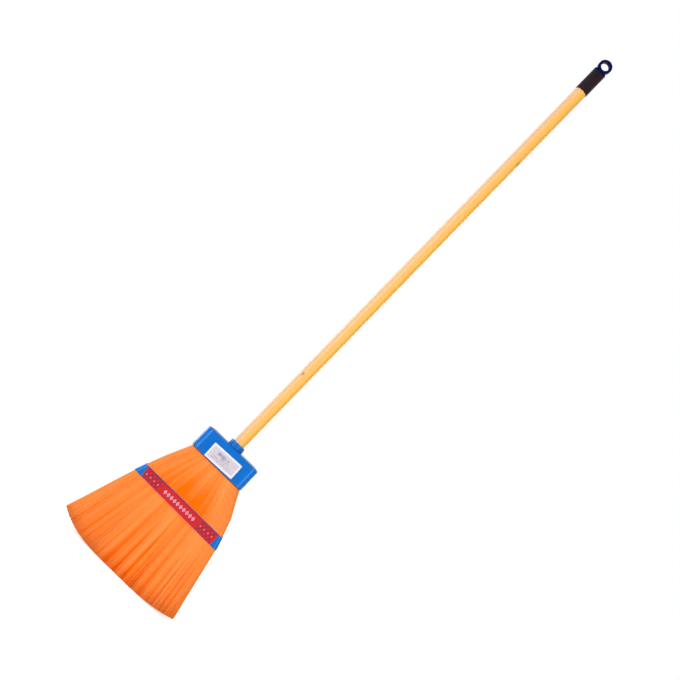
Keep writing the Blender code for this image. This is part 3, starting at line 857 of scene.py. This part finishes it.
def label_material():
    """White paper with its panel and smudged grey rules, turned as the label is."""
    made, tree, shader = new_material("white_paper_label")
    middle_x = (label_low.x + label_high.x) / 2
    middle_z = (label_low.z + label_high.z) / 2
    half_width = label_width / 2 - label_margin
    half_height = label_height / 2 - label_margin
    place = add_node(tree, "ShaderNodeTexCoord").outputs["Object"]
    paper = add_node(tree, "ShaderNodeTexNoise", {
        "Vector": place, "Scale": paper_scale, "Detail": paper_detail,
    })
    smudge = add_node(tree, "ShaderNodeTexNoise", {
        "Vector": place, "Scale": smudge_scale, "Detail": smudge_detail,
    })
    blotch = add_node(tree, "ShaderNodeMapRange", {
        "Value": smudge.outputs["Fac"], "From Min": smudge_range[0], "From Max": smudge_range[1],
        "To Min": smudge_ink[0], "To Max": smudge_ink[1],
    })
    straight = add_node(tree, "ShaderNodeVectorRotate", {
        "Vector": place, "Center": (middle_x, 0.0, middle_z), "Angle": label_tilt,
    }, rotation_type="Y_AXIS").outputs["Vector"]
    panel = use_group(tree, panel_mask, {
        "Place": straight, "Middle X": middle_x, "Middle Z": middle_z,
        "Half Width": half_width, "Half Height": half_height, "Soft": panel_soft_edge,
    })
    colour = blend_colours(tree, panel.outputs["Mask"], label_white, label_panel)
    for across, up, wide, high, soft in label_rules:
        rule = use_group(tree, panel_mask, {
            "Place": straight,
            "Middle X": middle_x + across * half_width, "Middle Z": middle_z + up * half_height,
            "Half Width": wide * half_width, "Half Height": high * half_height, "Soft": soft,
        })
        faint = work_out(tree, "MULTIPLY", rule.outputs["Mask"], blotch.outputs["Result"])
        colour = blend_colours(tree, faint, colour, label_grey)
    feed(tree, shader, "Base Color", colour)
    relief = add_node(tree, "ShaderNodeBump", {
        "Height": paper.outputs["Fac"], "Distance": paper_relief, "Strength": paper_relief_strength,
    })
    feed(tree, shader, "Normal", relief.outputs["Normal"])
    shader.inputs["Roughness"].default_value = label_roughness
    return made


dress_node("cap_label", label_material())


# Handle
# Turned softwood stick, 25 mm thick, under clear lacquer that has warmed to yellow. The grain
# runs along it in long flames, with a few small knots, and a painted highlight down one side.

wood_pale = (0.930, 0.465, 0.075)
wood_warm = (0.920, 0.425, 0.035)
# Colour of the painted highlight down the stick's left side.
wood_painted_highlight = (0.800, 0.490, 0.280)
wood_line = (0.870, 0.400, 0.070)
# Where the painted highlight lies: its turn from the left side towards the front, and where it
# starts as a share of the stick's radius.
painted_highlight_turn = math.radians(12)
painted_highlight_start = -0.1
wood_knot = (0.300, 0.130, 0.050)
wood_roughness = 0.45
wood_roughness_spread = 0.12
wood_reflection = 0.2
lacquer_share = 0.55
lacquer_roughness = 0.42

pith_offset = (0.013, 0.021, 0.0)
pith_lean = math.radians(0.4)
ring_stretch = 0.045
ring_scale = 95.0
ring_distortion = 3.0
ring_detail = 2.0
ring_detail_scale = 1.2
ring_range = (0.45, 1.0)
ring_share = 0.30
grain_stretch = 0.008
grain_scale = 450.0
grain_detail = 2.0
grain_breakup = 0.4
grain_range = (0.50, 0.75)
grain_share = 0.12
grain_relief = 0.00001
grain_relief_strength = 0.35
tint_scale = 60.0
tint_detail = 2.0

# Height, turn from the stick's right side towards its front in degrees, and size of each knot
knots = (
    (1.082, 35.0, 0.0042),
    (0.736, 250.0, 0.0030),
    (0.502, 115.0, 0.0034),
    (1.190, 200.0, 0.0026),
)
knot_squeeze = (1.0, 1.0, 0.6)
knot_core_share = 0.35
knot_strength = 0.8

handle_low, handle_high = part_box("handle")
stick_radius = (handle_high.x - handle_low.x) / 2


def wood_material():
    """Softwood with year rings, fine grain, knots under its lacquer and a painted highlight down
    one side.
    """
    made, tree, shader = new_material("lacquered_softwood")
    place = add_node(tree, "ShaderNodeTexCoord").outputs["Object"]
    ring_place = add_node(tree, "ShaderNodeMapping", {
        "Vector": place, "Location": pith_offset, "Scale": (1.0, 1.0, ring_stretch),
        "Rotation": (0.0, pith_lean, 0.0),
    }).outputs["Vector"]
    rings = add_node(tree, "ShaderNodeTexWave", {
        "Vector": ring_place, "Scale": ring_scale, "Distortion": ring_distortion,
        "Detail": ring_detail, "Detail Scale": ring_detail_scale,
    }, wave_type="RINGS", rings_direction="Z")
    grain_place = add_node(tree, "ShaderNodeMapping", {
        "Vector": place, "Scale": (1.0, 1.0, grain_stretch),
    })
    grain = add_node(tree, "ShaderNodeTexNoise", {
        "Vector": grain_place.outputs["Vector"], "Scale": grain_scale,
        "Detail": grain_detail, "Roughness": grain_breakup,
    }).outputs["Fac"]
    tint = add_node(tree, "ShaderNodeTexNoise", {
        "Vector": ring_place, "Scale": tint_scale, "Detail": tint_detail,
    })
    colour = blend_colours(tree, tint.outputs["Fac"], wood_pale, wood_warm)
    # Painted highlight: the wood pales towards its left side, turned a little to the front.
    toward_painted_highlight = add_node(tree, "ShaderNodeVectorMath", {
        0: place, 1: (-math.cos(painted_highlight_turn), -math.sin(painted_highlight_turn), 0.0),
    }, operation="DOT_PRODUCT")
    painted_highlight_middle = -axis_x * math.cos(painted_highlight_turn)
    painted_highlight_share = add_node(tree, "ShaderNodeMapRange", {
        "Value": toward_painted_highlight.outputs["Value"],
        "From Min": painted_highlight_middle + painted_highlight_start * stick_radius, "From Max": painted_highlight_middle + stick_radius,
    })
    colour = blend_colours(tree, painted_highlight_share.outputs["Result"], colour, wood_painted_highlight)
    lines = (
        (rings.outputs["Fac"], ring_range, ring_share),
        (grain, grain_range, grain_share),
    )
    for strength, shown, most in lines:
        share = add_node(tree, "ShaderNodeMapRange", {
            "Value": strength, "From Min": shown[0], "From Max": shown[1], "To Max": most,
        })
        colour = blend_colours(tree, share.outputs["Result"], colour, wood_line)
    for height, degrees, size in knots:
        turn = math.radians(degrees)
        middle = Vector((
            axis_x + stick_radius * math.cos(turn), -stick_radius * math.sin(turn), height
        ))
        apart = add_node(tree, "ShaderNodeVectorMath", {0: place, 1: middle}, operation="SUBTRACT")
        squeezed = add_node(tree, "ShaderNodeVectorMath", {
            0: apart.outputs["Vector"], 1: knot_squeeze,
        }, operation="MULTIPLY")
        away = add_node(tree, "ShaderNodeVectorMath", {
            0: squeezed.outputs["Vector"],
        }, operation="LENGTH")
        near = add_node(tree, "ShaderNodeMapRange", {
            "Value": away.outputs["Value"], "From Min": size * knot_core_share, "From Max": size,
            "To Min": knot_strength, "To Max": 0.0,
        })
        colour = blend_colours(tree, near.outputs["Result"], colour, wood_knot)
    feed(tree, shader, "Base Color", colour)
    gloss = add_node(tree, "ShaderNodeMapRange", {
        "Value": grain, "To Min": wood_roughness, "To Max": wood_roughness + wood_roughness_spread,
    })
    feed(tree, shader, "Roughness", gloss.outputs["Result"])
    relief = add_node(tree, "ShaderNodeBump", {
        "Height": grain, "Distance": grain_relief, "Strength": grain_relief_strength,
    })
    feed(tree, shader, "Normal", relief.outputs["Normal"])
    shader.inputs["Coat Weight"].default_value = lacquer_share
    shader.inputs["Coat Roughness"].default_value = lacquer_roughness
    shader.inputs["Specular IOR Level"].default_value = wood_reflection
    return made


dress_node("handle", wood_material())


# Threaded tip
# Moulded navy plastic cup pressed over the stick's spigot, with a coarse thread that screws
# into the cap's socket. It only shows when the stick is drawn out.

navy = (0.003, 0.006, 0.062)
navy_deep = (0.002, 0.004, 0.042)
navy_sheen = (0.60, 0.70, 1.0)
tip_roughness = 0.26
tip_dull_roughness = 0.36
tip_reflection = 0.20
tip_low, tip_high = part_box("threaded_tip")
thread_pitch = 0.0050
thread_depth = 0.0011
thread_run_in = 0.0025
thread_roundness = 0.6
tip_wall = 0.0019
tip_floor = 0.0024
tip_lead = 0.0015
tip_hole_radius = 0.0018
tip_sink_radius = 0.0033
thread_steps_round = 64
thread_steps_up = 90


def threaded_tip_mesh():
    """A cup turned round the stick's axis, whose outside winds up in a rounded ridge."""
    outer = (tip_high.x - tip_low.x) / 2
    bore = outer - tip_wall
    inner_floor = tip_low.z + tip_floor
    top = tip_high.z
    profile = [(tip_hole_radius, inner_floor, False), (bore, inner_floor, False)]
    profile.append((bore, top, False))
    for step in range(thread_steps_up + 1):
        height = top + (tip_low.z + tip_lead - top) * step / thread_steps_up
        profile.append((outer, height, True))
    profile.append((outer - tip_lead, tip_low.z, False))
    profile.append((tip_sink_radius, tip_low.z, False))
    profile.append((tip_hole_radius, tip_low.z + tip_sink_radius - tip_hole_radius, False))
    bm = bmesh.new()
    rings = []
    for count in range(thread_steps_round):
        turn = math.tau * count / thread_steps_round
        ring = []
        for radius, height, threaded in profile:
            if threaded:
                phase = (height - tip_low.z) / thread_pitch - count / thread_steps_round
                ridge = max(0.0, math.cos(math.tau * phase)) ** thread_roundness
                from_end = min(top - height, height - tip_low.z - tip_lead)
                run_in = max(0.0, min(1.0, from_end / thread_run_in))
                radius -= thread_depth * (1 - ridge * run_in)
            x = axis_x + radius * math.cos(turn)
            ring.append(bm.verts.new((x, radius * math.sin(turn), height)))
        rings.append(ring)
    for near, far in zip(rings, rings[1:] + rings[:1]):
        for low in range(len(profile)):
            high = (low + 1) % len(profile)
            bm.faces.new((near[low], far[low], far[high], near[high]))
    bmesh.ops.recalc_face_normals(bm, faces=bm.faces[:])
    mesh = bpy.data.meshes.new("threaded_tip_moulding")
    bm.to_mesh(mesh)
    bm.free()
    mesh.shade_smooth()
    mesh.set_sharp_from_angle(angle=facet_angle)
    return mesh


tip_plastic = plastic_material(
    "navy_tip_plastic", navy, navy_deep, tip_roughness, tip_dull_roughness,
    tip_reflection, navy_sheen, fine_pebble,
)
tip_moulding = add_object("threaded_tip_moulding", threaded_tip_mesh())
tip_moulding.data.materials.append(tip_plastic)
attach(tip_moulding, "stick")
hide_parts("threaded_tip")


# Tip screw
# Small countersunk steel screw, driven up through the tip's floor into the stick, which locks
# the tip on it. It is zinc plated like the pins.

dress_node("tip_screw", zinc_steel)


# Top sleeve
# Thin black plastic sleeve drawn tight over the stick's upper end, on a seat turned into the
# wood. It reaches up to the hanging eye's flange.

sleeve_black = (0.007, 0.003, 0.005)
sleeve_brown = (0.014, 0.006, 0.009)
sleeve_roughness = 0.40
sleeve_dull_roughness = 0.52
sleeve_reflection = 0.12
sleeve_sheen = (1.0, 0.80, 0.92)
sleeve_pebble = 0.00002
black_sleeve = plastic_material(
    "black_sleeve", sleeve_black, sleeve_brown, sleeve_roughness, sleeve_dull_roughness,
    sleeve_reflection, sleeve_sheen, sleeve_pebble,
)
dress_node("top_sleeve", black_sleeve)


# Hanging eye
# Navy moulded plug in the stick's end, with a flat ring to hang the broom by. Its skin is
# duller than the tip's, so the ring's bore stays dark.

eye_roughness = 0.42
eye_dull_roughness = 0.50
eye_reflection = 0.02
navy_plastic = plastic_material(
    "navy_plastic", navy, navy_deep, eye_roughness, eye_dull_roughness,
    eye_reflection, navy_sheen, fine_pebble,
)
dress_node("hanging_eye", navy_plastic)


# Floor and surroundings
# A plain white sweep. It looks white to the camera and in reflections, and keeps the
# broom's soft shadow.

floor_size = 30.0
floor_white = (0.86, 0.86, 0.86)
floor_roughness = 0.9
floor_glow = 0.72
room_strength = 0.34


def seen_directly(tree):
    """1 for rays from the camera and for mirrored and refracted ones, 0 for the rest."""
    path = add_node(tree, "ShaderNodeLightPath").outputs
    shown = work_out(tree, "MAXIMUM", path["Is Camera Ray"], path["Is Glossy Ray"])
    return work_out(tree, "MAXIMUM", shown, path["Is Transmission Ray"])


def floor_material():
    """Dull white, lifted to full white where it is seen, so that only the shadow shows."""
    made, tree, shader = new_material("white_floor")
    shader.inputs["Base Color"].default_value = (*floor_white, 1)
    shader.inputs["Roughness"].default_value = floor_roughness
    shader.inputs["Specular IOR Level"].default_value = 0.0
    shader.inputs["Emission Color"].default_value = (1, 1, 1, 1)
    glow = work_out(tree, "MULTIPLY", seen_directly(tree), floor_glow)
    feed(tree, shader, "Emission Strength", glow)
    return made


bm = bmesh.new()
bmesh.ops.create_grid(bm, x_segments=1, y_segments=1, size=floor_size / 2)
floor_mesh = bpy.data.meshes.new("floor")
bm.to_mesh(floor_mesh)
bm.free()
floor = add_object("floor", floor_mesh)
floor.data.materials.append(floor_material())

world = bpy.data.worlds.new("white_room")
bpy.context.scene.world = world
world.use_nodes = True
backdrop = world.node_tree.nodes["Background"]
backdrop.inputs["Color"].default_value = (1, 1, 1, 1)
room_glow = add_node(world.node_tree, "ShaderNodeMapRange", {
    "Value": seen_directly(world.node_tree), "To Min": room_strength, "To Max": 1.0,
})
world.node_tree.links.new(room_glow.outputs["Result"], backdrop.inputs["Strength"])


# Lamps
# Tall softboxes. The two in front give the long highlights on the stick and on the corners
# of the cap, and the two behind light its other side as plainly.

lamp_distance = 2.6
lamp_height = 0.88

# Each lamp's turn from the front towards the right in degrees, power in watts, width and height
lamps = (
    ("left_softbox", -42.0, 42.0, 0.8, 1.9),
    ("right_softbox", 40.0, 32.0, 0.8, 1.9),
    ("back_left_softbox", -128.0, 32.0, 1.0, 1.9),
    ("back_right_softbox", 150.0, 28.0, 1.0, 1.9),
)
for name, turn, power, wide, tall in lamps:
    lamp = bpy.data.lights.new(name, "AREA")
    lamp.shape = "RECTANGLE"
    lamp.size = wide
    lamp.size_y = tall
    lamp.energy = power
    holder = add_object(name, lamp)
    away = math.radians(turn)
    holder.location = (
        axis_x + lamp_distance * math.sin(away), -lamp_distance * math.cos(away), lamp_height
    )
    inward = Vector((axis_x, 0, lamp_height)) - holder.location
    holder.rotation_euler = inward.to_track_quat("-Z", "Y").to_euler()


# Camera
# In front of the broom, a little above its cap and aimed slightly up, rolled so that the
# stick leans to the right in the picture.

camera_distance = 2.375
camera_height = 0.3718
aim_height = 0.5979
lean = math.radians(44.165)
sensor_width = 36.0
focal_length = 66.476
camera_lens = bpy.data.cameras.new("camera")
camera_lens.sensor_width = sensor_width
camera_lens.lens = focal_length
camera = add_object("camera", camera_lens)
camera.location = (axis_x, -camera_distance, camera_height)
toward = Vector((axis_x, 0, aim_height)) - camera.location
camera.rotation_mode = "QUATERNION"
camera.rotation_quaternion = toward.to_track_quat("-Z", "Y") @ Quaternion((0, 0, 1), lean)
bpy.context.scene.camera = camera
bpy.context.scene.view_settings.view_transform = "Standard"
